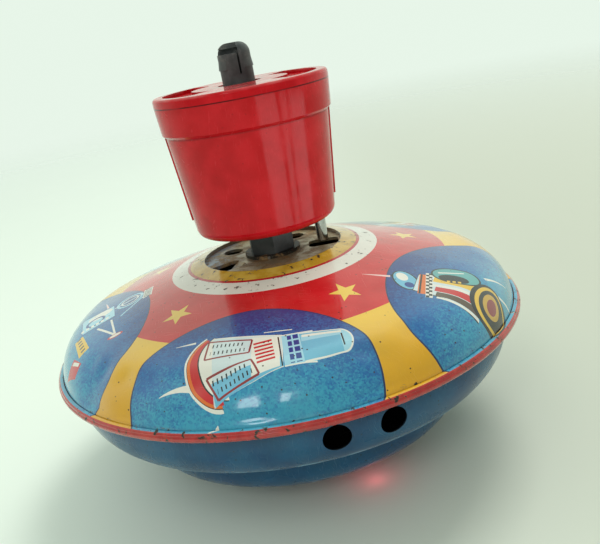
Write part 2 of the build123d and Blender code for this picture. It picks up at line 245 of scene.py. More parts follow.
def makeRust():
    group, start, end = newGroup("rust", [("Point", "Vector"), ("Cover", "Float"), ("Metal", "Color")],
                                 [("Color", "Color"), ("Mask", "Float"), ("Height", "Float")])
    broad = noise(group, start["Point"], rustLook["broadSize"], detail=6.0, rough=0.65, warp=0.6)
    fine = noise(group, start["Point"], rustLook["fineSize"], detail=4.0, rough=0.7)
    broadPart = maths(group, "MULTIPLY", broad, rustLook["broadShare"])
    blend = maths(group, "MULTIPLY_ADD", fine, rustLook["fineShare"], broadPart)
    spread = maths(group, "MULTIPLY", start["Cover"], rustLook["spread"])
    limit = maths(group, "SUBTRACT", rustLook["limit"], spread)
    low = maths(group, "SUBTRACT", limit, rustLook["soft"])
    mask = ramp(group, blend, low, maths(group, "ADD", limit, rustLook["soft"]))
    brown = mixInk(group, ramp(group, fine, 0.35, 0.65), ink(rustLook["dark"]), ink(rustLook["light"]))
    group.links.new(mixInk(group, mask, start["Metal"], brown), end["Color"])
    group.links.new(mask, end["Mask"])
    group.links.new(maths(group, "MULTIPLY", blend, mask), end["Height"])
    return group


chips = makeChips()
scratches = makeScratches()
grime = makeGrime()
mouldedSkin = makeMoulded()
rust = makeRust()
print("shared effects ready")

# printed artwork on the upper shell, in millimetres on the shell's plan

inks = {
    "white": ink("e8e6dc"), "pale": ink("cfdfe2"), "cyan": ink("6fb7d6"),
    "sky": ink("9fd3e6"), "navy": ink("1c3f8c"), "dark": ink("16181f"), "maroon": ink("8f2f33"),
    "red": ink("c8202a"), "orange": ink("e0702c"), "yellow": ink("e8bc3c"), "ochre": ink("cfa23c"),
    "brown": ink("5b4a3e"), "pink": ink("f0c8c4"), "teal": ink("5fa7a8"),
}

# bar: two ends, half width at each end, ink, then teeth, phase and share for a broken bar
# disc: centre, radii, turn, ink, then hollow and cut, both as shares of the radius
capsuleCraft = (
    ("bar", (-28.2, -46.9), (-21.5, -47.9), 0.05, 0.75, "white"),
    ("bar", (-24.0, -37.0), (-19.6, -37.8), 0.05, 0.3, "white"),
    ("bar", (-20.6, -55.4), (-17.0, -54.8), 0.05, 0.3, "white"),
    ("bar", (-5.2, -40.7), (0.6, -41.6), 0.12, 0.12, "white"),
    ("disc", (-13.2, -45.4), (9.2, 8.9), 6, "white", 0.0, -0.34),
    ("disc", (-13.2, -45.4), (8.75, 8.5), 6, "dark", 0.0, -0.36),
    ("disc", (-13.2, -45.4), (8.65, 8.4), 6, "orange", 0.0, -0.36),
    ("disc", (-13.0, -45.4), (8.2, 8.2), 6, "red", 0.0, -0.36),
    ("disc", (-12.9, -45.4), (6.6, 8.0), 6, "dark", 0.0, -0.3),
    ("disc", (-12.8, -45.4), (6.4, 7.9), 6, "white", 0.0, -0.3),
    ("bar", (-16.4, -45.6), (-2.0, -47.0), 7.4, 4.4, "white"),
    ("bar", (-16.5, -45.6), (-2.2, -47.0), 7.15, 4.1, "pale"),
    ("bar", (-17.0, -51.0), (-2.4, -50.1), 2.0, 1.1, "cyan"),
    ("bar", (-8.4, -46.3), (-2.6, -47.0), 5.0, 4.1, "white"),
    ("bar", (-16.75, -39.0), (-7.8, -42.0), 0.2, 0.2, "maroon"),
    ("bar", (-7.8, -42.0), (-8.8, -45.5), 0.2, 0.2, "maroon"),
    ("bar", (-8.8, -45.5), (-18.0, -44.0), 0.2, 0.2, "maroon"),
    ("bar", (-18.0, -44.0), (-16.75, -39.0), 0.2, 0.2, "maroon"),
    ("bar", (-18.0, -47.9), (-8.6, -47.6), 0.2, 0.2, "maroon"),
    ("bar", (-8.6, -47.6), (-7.4, -51.2), 0.2, 0.2, "maroon"),
    ("bar", (-7.4, -51.2), (-16.1, -52.3), 0.2, 0.2, "maroon"),
    ("bar", (-16.1, -52.3), (-18.0, -47.9), 0.2, 0.2, "maroon"),
    ("bar", (-16.1, -40.7), (-9.2, -42.7), 0.5, 0.45, "dark", 8, 0.0, 0.3),
    ("bar", (-16.7, -42.7), (-9.6, -44.3), 0.5, 0.45, "dark", 8, 0.2, 0.3),
    ("bar", (-16.9, -49.1), (-9.2, -48.7), 0.5, 0.45, "dark", 8, 0.0, 0.3),
    ("bar", (-16.0, -50.9), (-8.7, -50.2), 0.5, 0.45, "dark", 8, 0.2, 0.3),
    ("bar", (-5.8, -43.2), (-5.6, -49.7), 1.9, 1.9, "red", 6, 0.0, 0.5),
    ("bar", (-2.5, -43.0), (-2.6, -51.2), 0.14, 0.14, "dark"),
    ("bar", (-2.0, -47.1), (4.4, -47.4), 4.4, 4.4, "white"),
    ("bar", (-2.0, -47.1), (4.4, -47.4), 4.15, 4.1, "sky"),
    ("bar", (-0.35, -43.3), (-0.5, -51.1), 0.42, 0.42, "navy", 4, 0.1, 0.74),
    ("bar", (0.95, -43.3), (0.85, -51.1), 0.55, 0.55, "navy", 4, 0.1, 0.74),
    ("disc", (9.6, -47.2), (2.65, 3.3), 0, "white", 0.0, 1.1),
    ("bar", (1.8, -47.4), (10.0, -47.2), 4.25, 3.25, "white"),
    ("disc", (9.6, -47.2), (2.3, 3.0), 0, "sky", 0.0, 1.1),
    ("bar", (1.8, -47.3), (9.8, -47.2), 3.9, 3.0, "cyan"),
    ("bar", (2.0, -44.9), (9.8, -45.3), 0.9, 0.5, "sky"),
    ("bar", (2.2, -44.2), (10.2, -44.8), 0.35, 0.3, "white"),
    ("bar", (10.1, -45.4), (10.2, -48.9), 0.16, 0.16, "dark"),
)
rocketCraft = (
    ("bar", (18.6, -24.5), (24.6, -25.9), 0.05, 0.45, "pink"),
    ("bar", (46.0, -25.4), (51.5, -22.4), 0.4, 0.05, "white"),
    ("bar", (47.2, -29.3), (52.6, -27.6), 0.3, 0.05, "white"),
    ("bar", (25.1, -25.2), (25.3, -28.2), 0.32, 0.32, "dark"),
    ("disc", (27.6, -27.8), (2.7, 4.5), 8, "dark", 0.0, 1.1),
    ("disc", (27.6, -27.8), (2.35, 4.15), 8, "cyan", 0.0, 1.1),
    ("disc", (27.2, -26.2), (1.2, 1.9), 8, "white", 0.0, 1.1),
    ("disc", (27.9, -30.0), (1.0, 1.2), 8, "navy", 0.0, 1.1),
    ("bar", (29.6, -28.7), (42.0, -34.2), 4.1, 6.4, "dark"),
    ("bar", (29.7, -28.8), (42.0, -34.2), 3.8, 6.0, "pale"),
    ("bar", (32.3, -25.3), (29.5, -34.0), 0.85, 0.85, "orange"),
    ("bar", (31.9, -25.2), (29.1, -33.8), 0.2, 0.2, "dark"),
    ("bar", (33.7, -24.7), (30.7, -35.7), 0.75, 0.75, "white"),
    ("bar", (34.0, -24.8), (31.0, -35.8), 0.36, 0.36, "dark", 7, 0.0, 0.5),
    ("bar", (33.4, -24.6), (30.4, -35.6), 0.36, 0.36, "dark", 7, 0.5, 0.5),
    ("bar", (33.9, -27.6), (41.6, -31.0), 1.2, 1.35, "yellow"),
    ("bar", (33.0, -30.3), (41.2, -33.7), 0.45, 0.5, "white"),
    ("bar", (33.0, -32.0), (40.9, -35.6), 1.0, 1.2, "red"),
    ("bar", (32.6, -34.2), (40.4, -38.0), 0.9, 1.0, "brown"),
    ("bar", (32.3, -35.7), (39.8, -39.4), 0.35, 0.3, "white"),
    ("disc", (39.3, -26.0), (5.4, 3.9), -22, "dark", 0.0, 1.1),
    ("disc", (39.3, -26.0), (5.0, 3.5), -22, "teal", 0.0, 1.1),
    ("disc", (38.4, -27.5), (3.3, 1.9), -22, "dark", 0.0, 1.1),
    ("bar", (35.8, -24.3), (41.6, -24.6), 0.3, 0.2, "white"),
    ("bar", (36.6, -28.6), (40.0, -29.4), 0.4, 0.4, "yellow", 3, 0.0, 0.6),
    ("disc", (43.6, -33.6), (3.3, 6.4), -29, "dark", 0.0, 1.1),
    ("disc", (43.9, -33.6), (2.6, 5.6), -29, "yellow", 0.0, 1.1),
    ("disc", (44.2, -33.7), (2.1, 4.8), -29, "dark", 0.0, 1.1),
    ("disc", (44.3, -33.6), (1.4, 3.4), -29, "ochre", 0.0, 1.1),
    ("disc", (44.4, -33.8), (0.8, 2.3), -29, "maroon", 0.0, 1.1),
)
landerCraft = (
    ("bar", (-45.3, 4.4), (-43.8, -1.2), 0.12, 0.3, "pink"),
    ("bar", (-45.0, -12.6), (-39.6, -20.6), 0.3, 0.3, "white"),
    ("bar", (-41.6, -11.0), (-39.4, -20.6), 0.25, 0.25, "white"),
    ("disc", (-39.3, -21.3), (1.9, 0.9), 10, "red", 0.0, 1.1),
    ("disc", (-39.3, -21.2), (1.4, 0.6), 10, "white", 0.0, 1.1),
    ("bar", (-39.1, -11.5), (-33.6, -4.8), 0.25, 0.25, "sky"),
    ("disc", (-37.6, -3.2), (3.6, 3.6), 0, "sky", 0.82, 1.1),
    ("disc", (-37.6, -3.2), (2.4, 2.4), 0, "white", 0.84, 1.1),
    ("bar", (-42.0, -4.0), (-34.0, -2.6), 0.3, 0.2, "pale"),
    ("bar", (-32.7, -0.4), (-32.7, -6.4), 1.2, 1.2, "white"),
    ("bar", (-33.2, -0.4), (-33.2, -6.4), 0.5, 0.5, "dark", 6, 0.0, 0.5),
    ("bar", (-32.2, -0.4), (-32.2, -6.4), 0.5, 0.5, "dark", 6, 0.5, 0.5),
    ("bar", (-50.2, -6.6), (-41.4, -5.2), 5.4, 4.6, "navy"),
    ("bar", (-50.0, -6.6), (-41.6, -5.2), 4.9, 4.1, "sky"),
    ("disc", (-45.6, -3.6), (3.2, 2.2), 8, "white", 0.0, 1.1),
    ("disc", (-46.4, -6.8), (2.6, 2.6), 8, "navy", 0.72, 1.1),
    ("bar", (-49.8, -9.6), (-42.2, -8.2), 0.7, 0.6, "white", 6, 0.0, 0.6),
    ("bar", (-49.9, -12.8), (-47.2, -21.4), 1.1, 1.4, "yellow"),
    ("bar", (-49.9, -12.8), (-47.2, -21.4), 0.5, 0.6, "brown", 5, 0.0, 0.45),
    ("bar", (-51.4, -20.8), (-48.6, -25.0), 1.5, 1.2, "red"),
    ("bar", (-50.4, -21.0), (-48.4, -23.8), 0.3, 0.3, "white"),
)


def drawBar(tree, point, first, last, halfFirst, halfLast, teeth=0, phase=0.0, share=0.5):
    run = Vector(last) - Vector(first)
    middle = (Vector(first) + Vector(last)) / 2
    turn = math.degrees(math.atan2(run.y, run.x))
    along, across, _ = split(tree, localPoint(tree, point, middle, turn, (run.length / 2, 1.0)))
    inLength = maths(tree, "LESS_THAN", maths(tree, "ABSOLUTE", along), 1.0)
    half = halfFirst
    if halfFirst != halfLast:
        half = maths(tree, "MULTIPLY_ADD", along, (halfLast - halfFirst) / 2, (halfLast + halfFirst) / 2)
    inWidth = maths(tree, "LESS_THAN", maths(tree, "ABSOLUTE", across), half)
    mask = maths(tree, "MULTIPLY", inLength, inWidth)
    if teeth:
        beat = maths(tree, "FRACT", maths(tree, "MULTIPLY_ADD", along, teeth / 2, teeth / 2 + phase))
        mask = maths(tree, "MULTIPLY", mask, maths(tree, "LESS_THAN", beat, share))
    return mask


def drawDisc(tree, point, middle, radii, turn, hollow=0.0, cut=1.1):
    local = localPoint(tree, point, middle, turn, radii)
    reach = vectorMaths(tree, "LENGTH", local)
    mask = maths(tree, "LESS_THAN", reach, 1.0)
    if hollow:
        mask = maths(tree, "MULTIPLY", mask, maths(tree, "GREATER_THAN", reach, hollow))
    if cut < 1:
        mask = maths(tree, "MULTIPLY", mask, maths(tree, "LESS_THAN", split(tree, local)[0], cut))
    return mask


def makeCraft(name, shapes):
    group, start, end = newGroup(name, [("Point", "Vector"), ("Under", "Color")], [("Color", "Color")])
    colour = start["Under"]
    for kind, *rest in shapes:
        # each shape waits for the one before, so that Cycles never holds all of them at once
        waited = addNode(group, "VectorMath", {"operation": "MULTIPLY_ADD"})
        for socket, value in zip(waited.inputs, (colour, (1e-7, 1e-7, 1e-7), start["Point"])):
            feed(group, socket, value)
        point = waited.outputs[0]
        if kind == "bar":
            first, last, halfFirst, halfLast, tint, *broken = rest
            mask = drawBar(group, point, first, last, halfFirst, halfLast, *broken)
        else:
            middle, radii, turn, tint, hollow, cut = rest
            mask = drawDisc(group, point, middle, radii, turn, hollow, cut)
        colour = mixInk(group, mask, colour, inks[tint])
    group.links.new(colour, end["Color"])
    return group


print("artwork shapes listed")

# turns in degrees round the shell, and the rest in millimetres from its middle
artwork = {
    "medallions": (-167.0, -101.0, -33.4, 42.0, 117.5), "stars": (-134.5, -66.5, 4.0, 79.5, 155.0),
    "yellowTo": 21.3, "lineTo": 22.05, "whiteTo": 26.3, "redTo": 42.8, "starAt": 34.0,
    "starEdge": (0.3342, 0.9425, 1.2366), "panelAt": 50.0, "panelLong": 26.2, "panelHigh": 17.2,
    "panelPower": 1.85, "outline": 0.975, "shadeFrom": 34.0, "shadeTo": 58.5, "stipple": 2.6, "hemAt": 34.05,
}
tinLook = {
    "red": ("c3161c", "d0262b"), "bandYellow": ("ecc044", "dfa41a"), "ring": "dfddd3", "ringLine": "b5202a",
    "hubYellow": ("bd9226", "d0ab48"), "star": "ecc651", "panelLine": "1a2f57",
    "panelDark": ("1b3680", "1f66a6"), "panelLight": "3aa0c0", "mottle": "e9e2d2", "hem": ("a81218", "c42a28"),
    "grime": "8d8a70", "speck": "3a2c20", "chipEdge": "7a5a3a", "chip": "1d1712", "bare": "77674f",
    "grimeSize": 14.0, "chipSize": 1.9, "chipCover": 0.14, "hubCover": 0.42, "hemCover": 0.46,
    "wellWall": 17.6, "innerCentre": (0, 0, 20.0), "scratchLength": 5.0, "scratchTurn": 0.4, "bump": 0.3,
}


def stepped(tree, azimuth, breaks, values):
    total = values[0]
    for edge, low, high in zip(breaks, values, values[1:]):
        over = maths(tree, "GREATER_THAN", azimuth, edge)
        total = maths(tree, "MULTIPLY_ADD", over, high - low, total)
    return total


def turned(tree, point, degrees):
    angle = maths(tree, "MULTIPLY", degrees, -math.pi / 180)
    made = addNode(tree, "VectorRotate", {"rotation_type": "Z_AXIS"}, {"Vector": point, "Angle": angle})
    return made.outputs[0]


def twoTone(tree, mask, pair):
    return mixInk(tree, mask, ink(pair[0]), ink(pair[1]))


def innerFace(tree, point, centre):  # 1 where the face looks towards the centre
    facing = addNode(tree, "TexCoord").outputs["Normal"]
    away = vectorMaths(tree, "SUBTRACT", point, centre)
    return maths(tree, "LESS_THAN", vectorMaths(tree, "DOT_PRODUCT", facing, away), 0.0)


def printedTin():
    material, tree, surface, point = newMaterial("printedTin", {
        "Roughness": 0.2, "Metallic": 0.0, "IOR": 1.52, "Coat Weight": 0.55, "Coat Roughness": 0.04})
    x, y, z = split(tree, point)
    plan = addNode(tree, "CombineXYZ", inputs={"X": x, "Y": y}).outputs[0]
    radius = vectorMaths(tree, "LENGTH", plan)
    azimuth = maths(tree, "MULTIPLY", maths(tree, "ARCTAN2", y, x), 180 / math.pi)
    panels = artwork["medallions"]
    starTurns = artwork["stars"]

    # red field, yellow bands, rings round the hub
    redCloud = noise(tree, point, size=6.0, detail=3.0)
    redTone = twoTone(tree, ramp(tree, redCloud, 0.3, 0.7), tinLook["red"])
    ochreTone = twoTone(tree, ramp(tree, radius, 43.0, 57.0), tinLook["bandYellow"])
    colour = mixInk(tree, maths(tree, "GREATER_THAN", radius, artwork["redTo"]), redTone, ochreTone)
    colour = mixInk(tree, maths(tree, "LESS_THAN", radius, artwork["whiteTo"]), colour, ink(tinLook["ring"]))
    colour = mixInk(tree, maths(tree, "LESS_THAN", radius, artwork["lineTo"]), colour, ink(tinLook["ringLine"]))
    hubYellow = twoTone(tree, ramp(tree, noise(tree, point, size=3.0), 0.35, 0.65), tinLook["hubYellow"])
    colour = mixInk(tree, maths(tree, "LESS_THAN", radius, artwork["yellowTo"]), colour, hubYellow)

    # five-pointed stars: one edge line, folded into ten slices
    nearStar = stepped(tree, azimuth, panels, (starTurns[-1] - 360, *starTurns))
    starX, starY, _ = split(tree, turned(tree, plan, nearStar))
    towards = maths(tree, "SUBTRACT", artwork["starAt"], starX)
    reach = maths(tree, "SQRT", maths(tree, "ADD", maths(tree, "MULTIPLY", towards, towards),
                                      maths(tree, "MULTIPLY", starY, starY)))
    spoke = maths(tree, "ARCTAN2", starY, towards)
    halfSlice = math.radians(36)
    fold = maths(tree, "FLOORED_MODULO", maths(tree, "ADD", spoke, halfSlice), 2 * halfSlice)
    fold = maths(tree, "ABSOLUTE", maths(tree, "SUBTRACT", fold, halfSlice))
    edgeCos, edgeSin, edgeFar = artwork["starEdge"]
    height = maths(tree, "ADD", maths(tree, "MULTIPLY", maths(tree, "COSINE", fold), edgeCos),
                   maths(tree, "MULTIPLY", maths(tree, "SINE", fold), edgeSin))
    inStar = maths(tree, "LESS_THAN", maths(tree, "MULTIPLY", reach, height), edgeFar)
    colour = mixInk(tree, inStar, colour, ink(tinLook["star"]))

    # blue panels with a stippled shade and a thin dark line round them
    nearPanel = stepped(tree, azimuth, starTurns, (*panels, panels[0] + 360))
    panelX, panelY, _ = split(tree, turned(tree, plan, nearPanel))
    power = artwork["panelPower"]
    inward = maths(tree, "SUBTRACT", panelX, artwork["panelAt"])
    high = maths(tree, "ABSOLUTE", maths(tree, "DIVIDE", inward, artwork["panelHigh"]))
    wide = maths(tree, "ABSOLUTE", maths(tree, "DIVIDE", panelY, artwork["panelLong"]))
    level = maths(tree, "ADD", maths(tree, "POWER", high, power), maths(tree, "POWER", wide, power))
    grains = addNode(tree, "TexVoronoi", inputs={"Vector": point, "Scale": artwork["stipple"]}).outputs
    grain = maths(tree, "SUBTRACT", split(tree, grains["Color"])[0], 0.5)
    swirl = maths(tree, "SUBTRACT", noise(tree, point, size=7.0, detail=4.0, rough=0.6, warp=0.8), 0.5)
    fade = ramp(tree, panelX, artwork["shadeFrom"], artwork["shadeTo"], smooth=False)
    shade = maths(tree, "MULTIPLY_ADD", swirl, 0.5, fade)
    shade = maths(tree, "MULTIPLY_ADD", grain, 0.34, shade, clamp=True)
    blue = twoTone(tree, ramp(tree, shade, 0.0, 0.5), tinLook["panelDark"])
    blue = mixInk(tree, ramp(tree, shade, 0.45, 1.0), blue, ink(tinLook["panelLight"]))
    colour = mixInk(tree, maths(tree, "LESS_THAN", level, 1.0), colour, ink(tinLook["panelLine"]))
    colour = mixInk(tree, maths(tree, "LESS_THAN", level, artwork["outline"]), colour, blue)

    # the three craft; the two panels at the back repeat the rocket and the capsule
    repeats = (0.0, panels[3] - panels[2], panels[4] - panels[1], 0.0)
    drawn = turned(tree, plan, stepped(tree, azimuth, starTurns[2:], repeats))
    drawings = {"capsuleCraft": capsuleCraft, "rocketCraft": rocketCraft, "landerCraft": landerCraft}
    for name, shapes in drawings.items():
        colour = useGroup(tree, makeCraft(name, shapes), {"Point": drawn, "Under": colour})["Color"]

    # fine mottling of the print, red hem, grey scuffs, chips down to dark tin
    mottle = ramp(tree, noise(tree, point, size=0.8, detail=3.0, rough=0.6), 0.3, 0.75, toHigh=0.07)
    colour = mixInk(tree, mottle, colour, ink(tinLook["mottle"]), "OVERLAY")
    hem = maths(tree, "LESS_THAN", z, artwork["hemAt"])
    hemCloud = noise(tree, point, size=2.5, detail=4.0, rough=0.6)
    colour = mixInk(tree, hem, colour, twoTone(tree, ramp(tree, hemCloud, 0.35, 0.7), tinLook["hem"]))
    dirt = useGroup(tree, grime, {"Point": point, "Size": tinLook["grimeSize"]})
    colour = mixInk(tree, maths(tree, "MULTIPLY", dirt["Cloud"], 0.1), colour, ink(tinLook["grime"]))
    colour = mixInk(tree, dirt["Speck"], colour, ink(tinLook["speck"]))
    nearHub = ramp(tree, radius, 27.0, 24.0, toHigh=tinLook["hubCover"])
    nearHem = ramp(tree, z, 35.6, 34.2, toHigh=tinLook["hemCover"])
    cover = maths(tree, "ADD", maths(tree, "MAXIMUM", nearHub, nearHem), tinLook["chipCover"])
    worn = useGroup(tree, chips, {"Point": point, "Size": tinLook["chipSize"], "Cover": cover})
    colour = mixInk(tree, maths(tree, "MULTIPLY", worn["Edge"], 0.55), colour, ink(tinLook["chipEdge"]))
    colour = mixInk(tree, worn["Mask"], colour, ink(tinLook["chip"]))
    inside = innerFace(tree, point, tinLook["innerCentre"])
    wellWall = maths(tree, "LESS_THAN", radius, tinLook["wellWall"])
    colour = mixInk(tree, maths(tree, "MAXIMUM", inside, wellWall), colour, ink(tinLook["bare"]))
    feed(tree, surface.inputs["Base Color"], colour)
    lines = useGroup(tree, scratches, {
        "Point": point, "Length": tinLook["scratchLength"], "Turn": tinLook["scratchTurn"]})["Mask"]
    gloss = ramp(tree, noise(tree, point, size=11.0), 0.3, 0.7, toLow=0.12, toHigh=0.22)
    gloss = maths(tree, "MULTIPLY_ADD", lines, 0.14, gloss)
    gloss = maths(tree, "MAXIMUM", gloss, maths(tree, "MULTIPLY", worn["Edge"], 0.55))
    feed(tree, surface.inputs["Roughness"], gloss)
    waves = maths(tree, "MULTIPLY_ADD", worn["Mask"], -0.25, noise(tree, point, size=12.0, detail=2.0))
    waves = maths(tree, "MULTIPLY_ADD", grain, 0.012, waves)
    feed(tree, surface.inputs["Normal"], bumpFrom(tree, waves, tinLook["bump"]))
    return material


enamelLook = {
    "blue": ("0f4069", "18587f"), "sheenAndRubbing": "8fc0dc", "grime": "23505f", "speck": "20303a", "chip": "3d332b",
    "scratch": "9ecbe0", "inside": "1c2028", "creaseAt": 20.6, "creaseWide": 1.1, "innerCentre": (0, 0, 30.0),
    "grimeSize": 9.0, "chipSize": 2.2, "chipCover": 0.1, "rubbedCover": 0.22, "hemCover": 0.3,
    "scratchLength": 8.0, "scratchTurn": 1.3, "bump": 0.45,
}


def blueEnamel():
    material, tree, surface, point = newMaterial("blueEnamel", {
        "Roughness": 0.25, "IOR": 1.5, "Specular IOR Level": 0.4, "Coat Weight": 0.08, "Coat Roughness": 0.08})
    height = split(tree, point)[2]
    tone = ramp(tree, noise(tree, point, size=13.0, detail=4.0, rough=0.55), 0.32, 0.7)
    colour = twoTone(tree, tone, enamelLook["blue"])
    # a light line along the crease: painted highlight, in patches that also stand for rubbed enamel
    crease = maths(tree, "ABSOLUTE", maths(tree, "SUBTRACT", height, enamelLook["creaseAt"]))
    patchy = ramp(tree, noise(tree, point, size=4.0, detail=4.0), 0.35, 0.6)
    sheenAndRubbing = maths(tree, "MULTIPLY", ramp(tree, crease, enamelLook["creaseWide"], 0.1), patchy)
    colour = mixInk(tree, maths(tree, "MULTIPLY", sheenAndRubbing, 0.55), colour, ink(enamelLook["sheenAndRubbing"]))
    dirt = useGroup(tree, grime, {"Point": point, "Size": enamelLook["grimeSize"]})
    colour = mixInk(tree, maths(tree, "MULTIPLY", dirt["Cloud"], 0.22), colour, ink(enamelLook["grime"]))
    colour = mixInk(tree, dirt["Speck"], colour, ink(enamelLook["speck"]))
    rubbedCover = maths(tree, "MULTIPLY", sheenAndRubbing, enamelLook["rubbedCover"])
    cover = maths(tree, "ADD", enamelLook["chipCover"], rubbedCover)
    cover = maths(tree, "ADD", cover, ramp(tree, height, 30.5, 33.0, toHigh=enamelLook["hemCover"]))
    worn = useGroup(tree, chips, {"Point": point, "Size": enamelLook["chipSize"], "Cover": cover})
    colour = mixInk(tree, worn["Mask"], colour, ink(enamelLook["chip"]))
    lines = useGroup(tree, scratches, {
        "Point": point, "Length": enamelLook["scratchLength"], "Turn": enamelLook["scratchTurn"]})["Mask"]
    colour = mixInk(tree, maths(tree, "MULTIPLY", lines, 0.06), colour, ink(enamelLook["scratch"]))
    colour = mixInk(tree, innerFace(tree, point, enamelLook["innerCentre"]), colour, ink(enamelLook["inside"]))
    feed(tree, surface.inputs["Base Color"], colour)
    gloss = ramp(tree, noise(tree, point, size=8.0), 0.3, 0.7, toLow=0.18, toHigh=0.34)
    feed(tree, surface.inputs["Roughness"], maths(tree, "MULTIPLY_ADD", lines, 0.2, gloss))
    pits = maths(tree, "MULTIPLY", worn["Mask"], -0.1)
    dents = maths(tree, "MULTIPLY_ADD", noise(tree, point, size=16.0, detail=2.0), 1.0, pits)
    feed(tree, surface.inputs["Normal"], bumpFrom(tree, dents, enamelLook["bump"]))
    return material


hubLook = {
    "metal": "b3a283", "patch": "8f96a6", "chip": "241b13", "lip": "b9a888", "rustCover": 0.5,
    "peeps": ((6.36, 10.18), (-10.18, 6.36)), "lipAt": 3.4, "lipWide": 0.8, "chipSize": 2.4, "chipCover": 0.42,
    "metallic": 0.6, "roughness": 0.33, "bump": 0.25,
}


def hubSteel():
    material, tree, surface, point = newMaterial("hubSteel", {
        "Metallic": hubLook["metallic"], "Roughness": 0.35})
    x, y, _ = split(tree, point)
    plan = addNode(tree, "CombineXYZ", inputs={"X": x, "Y": y}).outputs[0]
    leftSide = maths(tree, "MULTIPLY_ADD", noise(tree, point, size=6.0, detail=3.0), 14.0, x)
    metal = twoTone(tree, ramp(tree, leftSide, -1.0, -7.0), (hubLook["metal"], hubLook["patch"]))
    aged = useGroup(tree, rust, {"Point": point, "Cover": hubLook["rustCover"], "Metal": metal})
    ridge = 0.0
    for centre in hubLook["peeps"]:
        away = vectorMaths(tree, "LENGTH", vectorMaths(tree, "SUBTRACT", plan, (*centre, 0)))
        fromLip = maths(tree, "ABSOLUTE", maths(tree, "SUBTRACT", away, hubLook["lipAt"]))
        ridge = maths(tree, "ADD", ramp(tree, fromLip, hubLook["lipWide"], 0.1), ridge)
    worn = useGroup(tree, chips, {"Point": point, "Size": hubLook["chipSize"], "Cover": hubLook["chipCover"]})
    colour = mixInk(tree, worn["Mask"], aged["Color"], ink(hubLook["chip"]))
    colour = mixInk(tree, maths(tree, "MULTIPLY", ridge, 0.35), colour, ink(hubLook["lip"]))
    feed(tree, surface.inputs["Base Color"], colour)
    metallic = maths(tree, "MULTIPLY_ADD", aged["Mask"], -0.45, hubLook["metallic"])
    feed(tree, surface.inputs["Metallic"], metallic)
    matt = maths(tree, "MULTIPLY_ADD", aged["Mask"], 0.25, hubLook["roughness"])
    feed(tree, surface.inputs["Roughness"], matt)
    height = maths(tree, "MULTIPLY", ridge, 0.8)
    height = maths(tree, "ADD", height, maths(tree, "MULTIPLY", aged["Height"], 0.5))
    feed(tree, surface.inputs["Normal"], bumpFrom(tree, height, hubLook["bump"]))
    return material


agedLook = {"scratch": "c9c7c2", "scratchLength": 3.0, "scratchTurn": 0.2, "rustMatt": 0.35, "bump": 0.08}


def agedMetal(name, metal, cover, metallic, roughness):
    material, tree, surface, point = newMaterial(name, {"Metallic": metallic, "Roughness": roughness})
    aged = useGroup(tree, rust, {"Point": point, "Cover": cover, "Metal": ink(metal)})
    lines = useGroup(tree, scratches, {
        "Point": point, "Length": agedLook["scratchLength"], "Turn": agedLook["scratchTurn"]})["Mask"]
    colour = mixInk(tree, maths(tree, "MULTIPLY", lines, 0.4), aged["Color"], ink(agedLook["scratch"]))
    feed(tree, surface.inputs["Base Color"], colour)
    feed(tree, surface.inputs["Metallic"], maths(tree, "MULTIPLY_ADD", aged["Mask"], -0.8 * metallic, metallic))
    matt = maths(tree, "MULTIPLY_ADD", aged["Mask"], agedLook["rustMatt"], roughness)
    feed(tree, surface.inputs["Roughness"], matt)
    feed(tree, surface.inputs["Normal"], bumpFrom(tree, aged["Height"], agedLook["bump"]))
    return material


plasticLook = {
    "grimeSize": 5.0, "speck": "2a1210", "scratchLength": 4.0, "scratchTurn": 0.9, "bump": 0.12,
    "seamAt": 91.95, "seam": "4a060b", "collarShadeAt": 84.7, "groove": "7a0a12", "lidTopFrom": (93.4, 93.9),
    "lidTopTint": "d9a0a0", "sheenAndRubbingFrom": (96.0, 103.0), "sheenAndRubbing": "7c7d78",
}


def gritPlastic(name, low, high, roughness, ripple, lightEdge, settings):
    material, tree, surface, point = newMaterial(name, {"Roughness": roughness, "IOR": 1.5, **settings})
    skin = useGroup(tree, mouldedSkin, {"Point": point, "Ripple": ripple})
    colour = twoTone(tree, skin["Tone"], (low, high))
    dirt = useGroup(tree, grime, {"Point": point, "Size": plasticLook["grimeSize"]})
    colour = mixInk(tree, maths(tree, "MULTIPLY", dirt["Cloud"], 0.12), colour, ink(lightEdge))
    colour = mixInk(tree, maths(tree, "MULTIPLY", dirt["Speck"], 0.25), colour, ink(plasticLook["speck"]))
    lines = useGroup(tree, scratches, {
        "Point": point, "Length": plasticLook["scratchLength"], "Turn": plasticLook["scratchTurn"]})["Mask"]
    colour = mixInk(tree, maths(tree, "MULTIPLY", lines, 0.1), colour, ink(lightEdge))
    dull = maths(tree, "MULTIPLY_ADD", dirt["Cloud"], 0.1, roughness)
    feed(tree, surface.inputs["Roughness"], maths(tree, "MULTIPLY_ADD", lines, 0.22, dull))
    feed(tree, surface.inputs["Normal"], bumpFrom(tree, skin["Height"], plasticLook["bump"]))
    return material, tree, surface, point, colour


def lineAt(tree, height, level, wide, toHigh=1.0):  # a thin line round the piece at one height
    away = maths(tree, "ABSOLUTE", maths(tree, "SUBTRACT", height, level))
    return ramp(tree, away, wide, 0.05, toHigh=toHigh)


